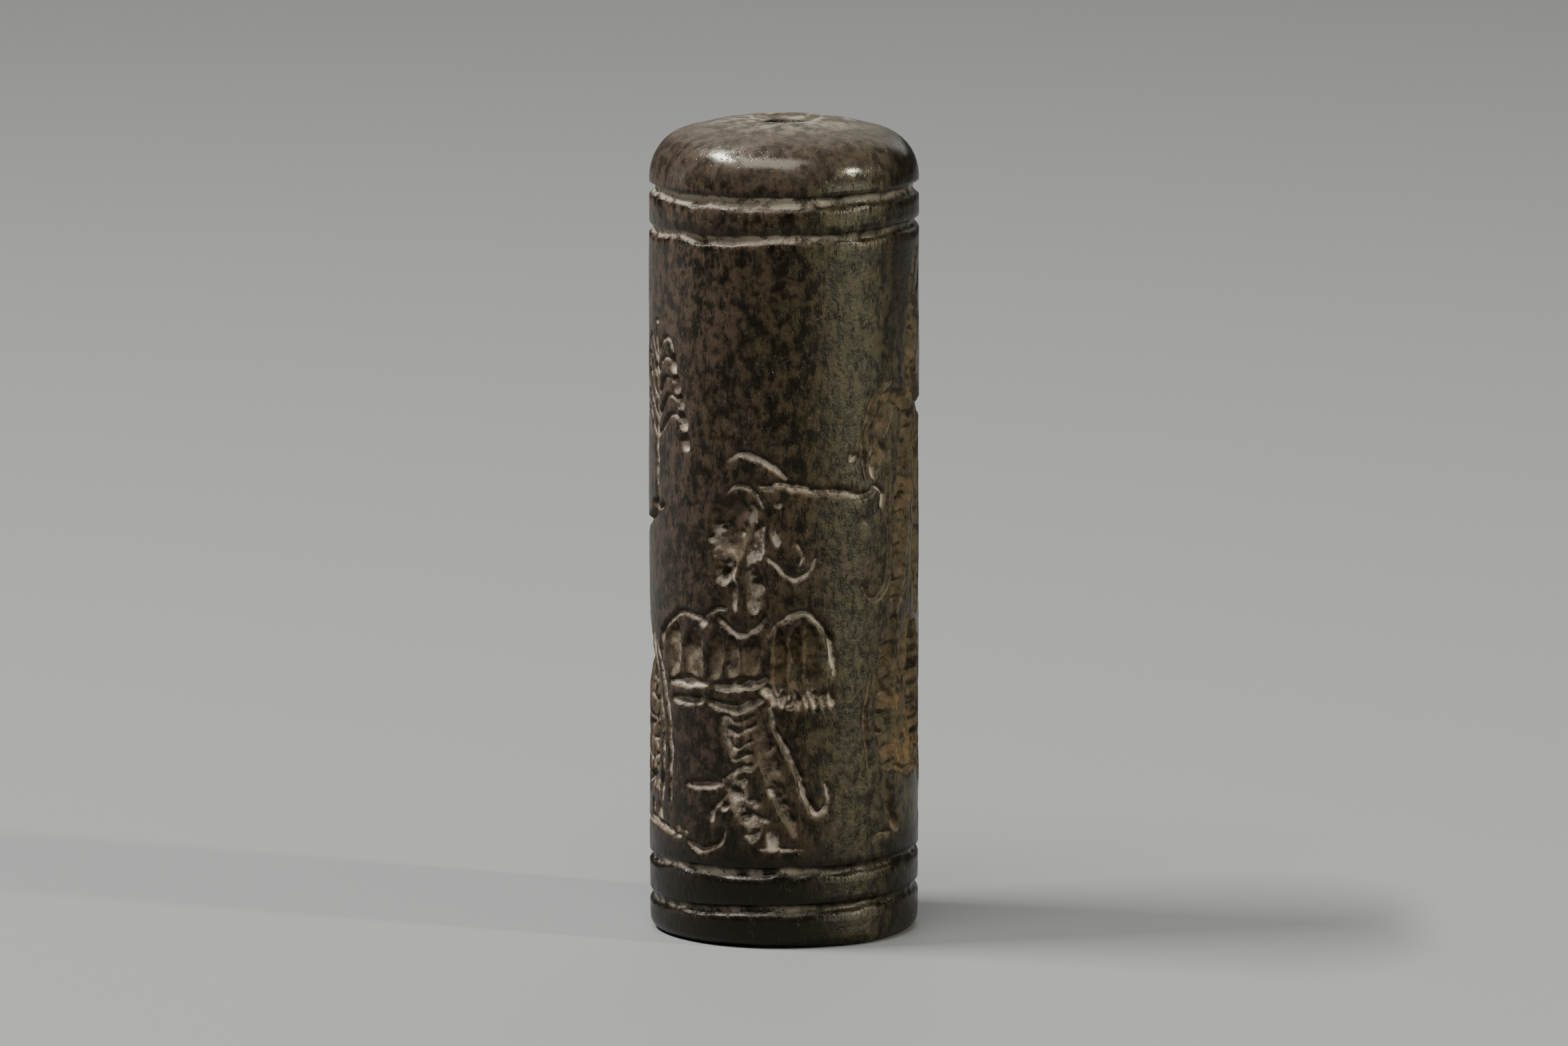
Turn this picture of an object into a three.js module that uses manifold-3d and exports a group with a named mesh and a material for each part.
// Cylinder seal: a slim stone roller, pierced lengthwise, with a scene engraved round its side.
// Millimetres, +Z up. The origin is the middle of the flat base.
//
// The engraving is laid out on the unrolled side: u runs round the barrel to the right as seen from
// outside, with u = 0 facing -Y, and z is the height. Every cut is a closed cutter that follows a
// path on that sheet, is wrapped round the barrel, and is taken out of the turned body.

import * as THREE from "three";
import { mergeVertices } from "three/addons/utils/BufferGeometryUtils.js";
import Module from "manifold-3d";

// Body
const DIAMETER = 13.4;
const HEIGHT = 3.015 * DIAMETER;
const RADIUS = DIAMETER / 2;
const SEGMENTS = 40;
const CROWN = 0.45; // rise of the domed top inside its shoulder
const SHOULDER = 2.4; // radius of the worn top shoulder
const SHOULDER_TURN = 82; // degrees that the shoulder turns through before the dome takes over
const SHOULDER_STEPS = 6;
const DOME_DROP = 0.25 * CROWN; // how far the dome has fallen half way to its shoulder
const FOOT_ROUND = 0.6; // radius of the worn edge round the base
const FOOT_STEPS = 3;

// Perforation, drilled from both ends to meet in the middle
const BORE_MIDDLE = 0.85; // radii
const BORE_END = 1.0;
const MOUTH = 1.75;
const MOUTH_DEPTH = 0.22;

// Border lines: two at each end, as height, half width and depth
const BORDER_LINES = [
  { z: 1.95, half: 0.3, depth: 0.26 },
  { z: 3.85, half: 0.29, depth: 0.22 },
  { z: 35.2, half: 0.32, depth: 0.24 },
  { z: 37.0, half: 0.38, depth: 0.3 },
];
const GROOVE_FLOOR = 0.35; // flat share of a groove's width
const LEAN = 0.03; // the border lines climb towards +X by this share

// Cutters: sides of the section and the length that one ring of it covers
const SCOOP = { sides: 6, pitch: 2.0 }; // rounded hollows and drilled pits
const GRAVER = { sides: 4, pitch: 1.5 }; // V-shaped lines
const FEWEST_RINGS = 3;
const PROUD = 1.6; // how far a cutter stands out of the stone, as a share of its depth
const END_BLUNT = 0.55; // below 1 the ends of a cut are blunter than an ellipsoid's

// Middle line of each figure, as u on the unrolled side
const SEATED_GOD = -15.7;
const LEAFY_BRANCH = -8.1;
const BIRD_MAN = -2.3;
const LEASH = -0.6;
const STANDING_GOD = 8.6;
const ALTAR_WITH_PALM = 17.1;

const wasm = await Module();
wasm.setup();

// ---- turned body ----

function groovePoints({ z, half, depth }) {
  const floor = GROOVE_FLOOR * half;
  return [
    new THREE.Vector2(RADIUS, z - half),
    new THREE.Vector2(RADIUS - depth, z - floor),
    new THREE.Vector2(RADIUS - depth, z + floor),
    new THREE.Vector2(RADIUS, z + half),
  ];
}

// Quarter arc of the given radius about (x, z), from angle a to angle b, in degrees.
function arcPoints(x, z, radius, a, b, steps) {
  const points = [];
  for (let i = 0; i <= steps; i++) {
    const angle = THREE.MathUtils.degToRad(a + ((b - a) * i) / steps);
    points.push(new THREE.Vector2(x + radius * Math.cos(angle), z + radius * Math.sin(angle)));
  }
  return points;
}

function bodyProfile() {
  const shoulderZ = HEIGHT - CROWN - SHOULDER;
  const crownMiddle = (RADIUS - SHOULDER + MOUTH) / 2;
  const points = [
    new THREE.Vector2(BORE_END, MOUTH_DEPTH),
    new THREE.Vector2(MOUTH, 0),
    ...arcPoints(RADIUS - FOOT_ROUND, FOOT_ROUND, FOOT_ROUND, -90, 0, FOOT_STEPS),
    ...BORDER_LINES.flatMap(groovePoints),
    ...arcPoints(RADIUS - SHOULDER, shoulderZ, SHOULDER, 0, SHOULDER_TURN, SHOULDER_STEPS),
    new THREE.Vector2(crownMiddle, HEIGHT - DOME_DROP),
    new THREE.Vector2(MOUTH, HEIGHT),
    new THREE.Vector2(BORE_END, HEIGHT - MOUTH_DEPTH),
    new THREE.Vector2(BORE_MIDDLE, HEIGHT / 2),
  ];
  return [...points, points[0].clone()];
}

// Tilts the border lines without moving the ends of the body.
function leanBorderLines(geometry) {
  const position = geometry.attributes.position;
  for (let i = 0; i < position.count; i++) {
    const x = position.getX(i);
    const z = position.getZ(i);
    const onLine = BORDER_LINES.some((line) => Math.abs(z - line.z) < 1.01 * line.half);
    if (onLine && Math.hypot(x, position.getY(i)) > MOUTH) position.setZ(i, z + LEAN * x);
  }
}

function turnedBody() {
  const body = new THREE.LatheGeometry(bodyProfile(), SEGMENTS);
  body.rotateX(Math.PI / 2);
  leanBorderLines(body);
  return body;
}

// ---- solids ----

function toSolid(geometry) {
  geometry.deleteAttribute("normal");
  geometry.deleteAttribute("uv");
  const merged = mergeVertices(geometry, 1e-4);
  return new wasm.Manifold(
    new wasm.Mesh({
      numProp: 3,
      vertProperties: merged.attributes.position.array,
      triVerts: new Uint32Array(merged.index.array),
    }),
  );
}

function toGeometry(solid) {
  const mesh = solid.getMesh();
  const geometry = new THREE.BufferGeometry();
  geometry.setAttribute("position", new THREE.BufferAttribute(mesh.vertProperties, 3));
  geometry.setIndex(new THREE.BufferAttribute(mesh.triVerts, 1));
  const faceted = geometry.toNonIndexed();
  faceted.computeVertexNormals();
  return faceted;
}

// ---- cutters ----

const cutters = [];

// Wraps a point of the sheet, a given depth under the surface, round the barrel.
function wrap(u, z, depth) {
  const angle = u / RADIUS;
  const radius = RADIUS - depth;
  return new THREE.Vector3(radius * Math.sin(angle), -radius * Math.cos(angle), z);
}

// Reshapes a unit ball: place(x, along, y) gives where a point of it goes.
function shapedBall(sides, rings, place) {
  const ball = new THREE.SphereGeometry(1, sides, rings);
  const position = ball.attributes.position;
  for (let i = 0; i < position.count; i++) {
    const point = place(position.getX(i), position.getY(i), position.getZ(i));
    position.setXYZ(i, point.x, point.y, point.z);
  }
  cutters.push(toSolid(ball));
}

// One cut along stations of [u, z, half width], all as deep as given at the middle.
function gouge(tool, depth, stations) {
  const path = new THREE.CatmullRomCurve3(stations.map(([u, z, half]) => new THREE.Vector3(u, z, half)));
  const rings = Math.max(FEWEST_RINGS, Math.round(path.getLength() / tool.pitch));
  shapedBall(tool.sides, rings, (x, along, y) => {
    const t = Math.acos(THREE.MathUtils.clamp(along, -1, 1)) / Math.PI;
    const ring = Math.hypot(x, y);
    const swell = ring > 1e-6 ? Math.pow(ring, END_BLUNT) / ring : 0;
    const centre = path.getPoint(t);
    const way = path.getTangent(t);
    const length = Math.hypot(way.x, way.y);
    const side = x * swell * centre.z;
    const reach = (y > 0 ? depth : PROUD * depth) * swell;
    return wrap(centre.x + (way.y / length) * side, centre.y - (way.x / length) * side, y * reach);
  });
}

// A round pit from the drill.
function pit(u, z, radius, depth = 0.85 * radius) {
  shapedBall(SCOOP.sides, FEWEST_RINGS + 1, (x, along, y) => wrap(u - radius * x, z + radius * along, depth * y));
}

// The graver for one figure: its cuts are given from the figure's own middle line.
function graver(middle) {
  const shift = (points) => points.map(([u, z, ...rest]) => [middle + u, z, ...rest]);
  return {
    body: (depth, ...stations) => gouge(SCOOP, depth, shift(stations)),
    line: (half, depth, ...points) =>
      gouge(GRAVER, depth, shift(points).map(([u, z]) => [u, z, half])),
    pit: (u, z, radius, depth) => pit(middle + u, z, radius, depth),
  };
}

// ---- the scene, from left to right ----

function seatedGod() {
  const cut = graver(SEATED_GOD);
  // Tall tiered crown with its horns
  cut.body(0.5, [-0.8, 35, 0.2], [-0.7, 33, 0.5], [-0.5, 30.4, 1.1]);
  for (const [z, half] of [[33.3, 0.6], [31.8, 0.9], [30.3, 1.2]]) {
    cut.line(0.24, 0.62, [-0.6 - half, z + 0.1], [-0.6, z - 0.1], [-0.6 + half, z + 0.1]);
  }
  cut.line(0.22, 0.32, [0.6, 31.8], [1.2, 33.2], [1.9, 33], [2, 32]);
  // Head, beard and bun
  cut.body(0.6, [-0.2, 30, 0.8], [0.1, 28.2, 1.15], [-0.1, 25.6, 0.6]);
  cut.line(0.28, 0.4, [0.7, 28.5], [1.6, 28.1]);
  cut.line(0.34, 0.42, [0.9, 26.8], [1.2, 25.6], [0.8, 24.9]);
  cut.line(0.3, 0.4, [-1, 29.8], [-1.1, 28.4], [-2, 27.4]);
  cut.pit(-2.1, 27.3, 0.5);
  // Chest, waist and the two arms
  cut.body(0.6, [-0.2, 25, 1.1], [-0.3, 22.6, 2.1], [-0.6, 19.9, 1.2]);
  cut.line(0.34, 0.48, [-1.7, 24.9], [-2.6, 22.2], [-3.7, 19.3]);
  cut.line(0.18, 0.26, [-2.7, 24], [-3.8, 21.5], [-5.2, 22.1]);
  cut.line(0.3, 0.38, [2.3, 24.1], [3.1, 22.6], [2.6, 21]);
  cut.line(0.2, 0.26, [4, 24], [4.4, 22.6], [4.3, 21.2]);
  cut.line(0.36, 0.42, [-3.5, 19.5], [1, 19.7], [4.6, 20.2], [7.4, 21.1]);
  cut.pit(7.3, 21.3, 0.45);
  cut.line(0.24, 0.34, [2.9, 19.4], [2.7, 17.8], [4.2, 17.3]);
  cut.body(0.5, [-0.6, 19.2, 1], [-0.7, 17.4, 0.75], [-0.5, 14.4, 1.2]);
  cut.line(0.16, 0.2, [-2.1, 17.7], [-2.2, 14.6], [-3.6, 13.8]);
  // Flounced skirt over the knees, down to the feet
  cut.body(0.5, [-0.4, 14.6, 1.1], [3, 14.6, 1.3], [5.7, 12.6, 1.5], [6, 7.4, 1.7]);
  for (let row = 0; row < 4; row++) {
    const z = 12 - 1.4 * row;
    cut.line(0.2, 0.62, [4.6, z], [6, z - 0.35], [7.4, z - 0.05]);
    cut.line(0.2, 0.6, [0.5 + 1.1 * row, 13.4], [1.1 + 1.1 * row, 15.7 - 0.2 * row]);
  }
  cut.line(0.2, 0.34, [2.4, 17], [6.2, 14.7], [7.6, 11], [7.4, 6.9]);
  cut.line(0.18, 0.28, [5.6, 15.9], [8.4, 12], [8.8, 6.9]);
  cut.line(0.28, 0.38, [4.4, 6.3], [5.4, 5.7]);
  cut.line(0.28, 0.38, [6.7, 6.3], [7.7, 5.8]);
  // Stool with its paired legs
  cut.line(0.32, 0.4, [-2.2, 12.2], [0, 11.9], [2.2, 11]);
  for (const u of [-2.7, -1.7, -0.4, 0.6, 1.5, 2.5]) {
    cut.line(0.28, 0.38, [u, 10.9 - 0.15 * Math.max(0, u)], [u, 6.5]);
  }
}

function leafyBranch() {
  const cut = graver(LEAFY_BRANCH);
  cut.line(0.18, 0.28, [0, 21.4], [0, 25], [0, 30.2]);
  for (const side of [-1, 1]) {
    for (let tier = 0; tier < 4; tier++) {
      const z = 25.3 + 1.05 * tier;
      const reach = side * (2.5 - 0.4 * tier);
      cut.line(0.17, 0.24, [0, z], [0.6 * reach, z + 1.4], [reach, z + 0.1]);
      cut.pit(reach, z, 0.32);
    }
  }
}

function birdMan() {
  const cut = graver(BIRD_MAN);
  // Head, crest and hair
  cut.body(0.42, [0.3, 23.4, 0.4], [-0.3, 21.8, 0.9], [-0.4, 19.9, 0.6]);
  cut.line(0.24, 0.28, [-0.6, 21.9], [-1.6, 21.4]);
  cut.line(0.34, 0.36, [-1.5, 20.6], [-0.6, 19.4]);
  cut.line(0.2, 0.28, [0.2, 23.6], [1.2, 22.8], [1.3, 20.2]);
  cut.line(0.2, 0.26, [1.4, 20.3], [2.6, 19.2], [3.5, 20.2]);
  cut.body(0.44, [0, 19.6, 0.4], [0, 16.9, 0.45]);
  // Two fluted wings with the breast between them
  for (const side of [-1, 1]) {
    const u = -0.05 + 3.3 * side;
    cut.line(0.17, 0.3, [u - 1.5 * side, 13.4], [u - 0.6 * side, 16.8], [u + 1.2 * side, 16.3], [u + 1.8 * side, 13.4]);
    for (const flute of [-1, 0, 1]) {
      cut.body(0.42, [u + 0.8 * flute, 16.3 - 0.4 * Math.abs(flute), 0.4], [u + 0.85 * flute, 12.4, 0.48]);
    }
  }
  for (const flute of [-0.75, 0, 0.75]) {
    cut.body(0.38, [-0.05 + flute, 15.9, 0.38], [-0.05 + flute, 13.4, 0.42]);
  }
  cut.line(0.2, 0.3, [-1.6, 16.9], [0, 16.1], [1.5, 16.9]);
  cut.line(0.26, 0.44, [-1.4, 12.9], [0, 12.5], [1.3, 12.9]);
  // Bird's body, claws and hooked tail
  cut.body(0.42, [0.6, 12.1, 0.5], [1.6, 8.8, 0.5], [3.1, 5.3, 0.3]);
  cut.line(0.2, 0.3, [2, 11.2], [3.4, 7.8], [4.2, 6.9], [4.9, 8]);
  cut.body(0.32, [-0.4, 12, 0.45], [-0.9, 9.6, 0.6], [-0.7, 7.6, 0.6]);
  for (let row = 0; row < 3; row++) {
    cut.line(0.18, 0.42, [-1.6, 11.2 - 1.3 * row], [-0.6, 10.7 - 1.3 * row], [0.2, 11 - 1.3 * row]);
  }
  cut.line(0.2, 0.3, [-3.2, 8.2], [-2, 8.2], [-1.4, 8.8]);
  cut.pit(-0.1, 7, 0.45);
  cut.pit(0.7, 6.4, 0.4);
  cut.line(0.24, 0.34, [-5.4, 6], [-3.9, 5.2], [-2, 5.9]);
}

function leash() {
  const cut = graver(LEASH);
  cut.line(0.2, 0.24, [5.3, 23.2], [3, 23.5], [0.3, 24.1]);
  cut.line(0.22, 0.28, [-1.9, 24.6], [-0.9, 24.7], [0.3, 24]);
  cut.pit(3.6, 23.4, 0.26);
}

function standingGod() {
  const cut = graver(STANDING_GOD);
  // Horned head facing left
  cut.body(0.55, [0.5, 31.6, 0.6], [0.2, 30.2, 0.9], [-0.1, 28.4, 0.6]);
  cut.line(0.3, 0.4, [-0.4, 30.5], [-1.5, 29.5]);
  cut.line(0.26, 0.36, [-0.5, 29.3], [-1.2, 28.7]);
  cut.line(0.25, 0.36, [-0.3, 32], [0, 33.2], [0.7, 34]);
  cut.line(0.24, 0.34, [2.4, 30.6], [3, 32.2], [4.7, 33.8]);
  cut.line(0.26, 0.36, [0.9, 31.2], [2.2, 30.2], [2.8, 28.7]);
  cut.pit(2.9, 28.4, 0.42);
  // Raised arm in its pleated sleeve, and the other arm with its hand
  for (const fold of [0, 1, 2]) {
    const inner = 0.6 * fold;
    cut.line(0.24, 0.36, [-4.3 + inner, 23.3 + inner], [-4.2 + inner, 26], [-2.6 + inner, 27.7 - 0.5 * inner]);
  }
  cut.body(0.48, [1.9, 26.2, 0.5], [4.2, 25, 0.6], [3.6, 22.3, 0.45]);
  cut.line(0.2, 0.26, [3.6, 22.1], [4.6, 23.2], [5.4, 25], [7, 24.8]);
  // Long flounced robe, parting below the knee
  cut.body(0.6, [0.2, 28, 0.6], [1, 25.4, 1.9], [0.5, 21.5, 1.7], [-0.3, 17, 1.7], [-0.9, 13.4, 1.9]);
  cut.body(0.58, [-1.5, 15.6, 1], [-2.3, 12, 1.1], [-2.6, 8.2, 0.9]);
  cut.body(0.6, [0.2, 15.2, 0.9], [0.9, 11.8, 1.1], [1.9, 7.2, 0.9]);
  for (let row = 0; row < 7; row++) {
    const z = 25.4 - 1.5 * row;
    cut.line(0.22, 0.72, [-1.4, z], [-0.5, z - 0.35], [0.4, z]);
    cut.line(0.22, 0.72, [0.8, z], [1.7, z - 0.35], [2.5, z]);
  }
  for (let row = 0; row < 4; row++) {
    const z = 13.9 - 1.5 * row;
    cut.line(0.22, 0.7, [-3.2, z], [-2.3, z - 0.3], [-1.4, z]);
    cut.line(0.22, 0.7, [0.2 + 0.3 * row, z], [1 + 0.3 * row, z - 0.3], [1.9 + 0.3 * row, z - 0.1]);
  }
  cut.line(0.17, 0.26, [-1.9, 25.2], [-2.6, 20], [-3.3, 17.1], [-4.2, 18]);
  cut.line(0.18, 0.28, [2.6, 20.5], [2, 15.7], [3.2, 16.3]);
  cut.line(0.2, 0.28, [1.4, 13], [2.8, 9.8], [3.5, 6.8]);
  cut.line(0.26, 0.5, [-2, 8.6], [-0.6, 8.2], [0.8, 8.6]);
  cut.line(0.34, 0.4, [-2.6, 7.6], [-2, 5.8]);
  cut.line(0.34, 0.4, [1.9, 7], [1.9, 5.9]);
}

function altarWithPalm() {
  const cut = graver(ALTAR_WITH_PALM);
  // Tall cup
  cut.body(0.4, [0, 20.7, 1.7], [0, 18.4, 1.5], [0, 15.6, 0.4]);
  for (const side of [-1, 1]) {
    cut.line(0.3, 0.5, [1.75 * side, 20.6], [1.5 * side, 18.2], [0.5 * side, 15.7]);
    cut.line(0.2, 0.3, [2.6 * side, 20], [2.3 * side, 17.2]);
    cut.body(0.52, [0.3 * side, 14.1, 0.4], [0.7 * side, 11.4, 0.6], [0.95 * side, 8.2, 0.75]);
    cut.line(0.2, 0.28, [1.2 * side, 13.1], [2.1 * side, 11], [2.4 * side, 8.3]);
  }
  cut.pit(0, 15, 0.5);
  cut.line(0.2, 0.28, [-1.3, 14.5], [1.2, 14.5]);
  cut.line(0.22, 0.3, [-1.9, 7.7], [0, 7.3], [1.7, 7.7]);
  // Palm shoot with its fruit
  cut.line(0.19, 0.28, [-0.3, 20.9], [-0.3, 25], [0.2, 28.3]);
  for (const [u, z, radius] of [[-1.2, 30.9, 0.42], [-1, 29.3, 0.42], [1.8, 33.2, 0.42], [2.2, 32, 0.34], [1.9, 28.1, 0.36]]) {
    cut.pit(u, z, radius);
  }
}

seatedGod();
leafyBranch();
birdMan();
leash();
standingGod();
altarWithPalm();

// ---- the finished seal ----

const STONE = new THREE.MeshStandardMaterial({
  name: "stone",
  color: 0x2c2723,
  roughness: 0.38,
  metalness: 0,
});

const engraved = toSolid(turnedBody()).subtract(wasm.Manifold.union(cutters));
const seal = new THREE.Mesh(toGeometry(engraved), STONE);
seal.name = "seal";

const cylinderSeal = new THREE.Group();
cylinderSeal.name = "cylinder_seal";
cylinderSeal.add(seal);

export default cylinderSeal;
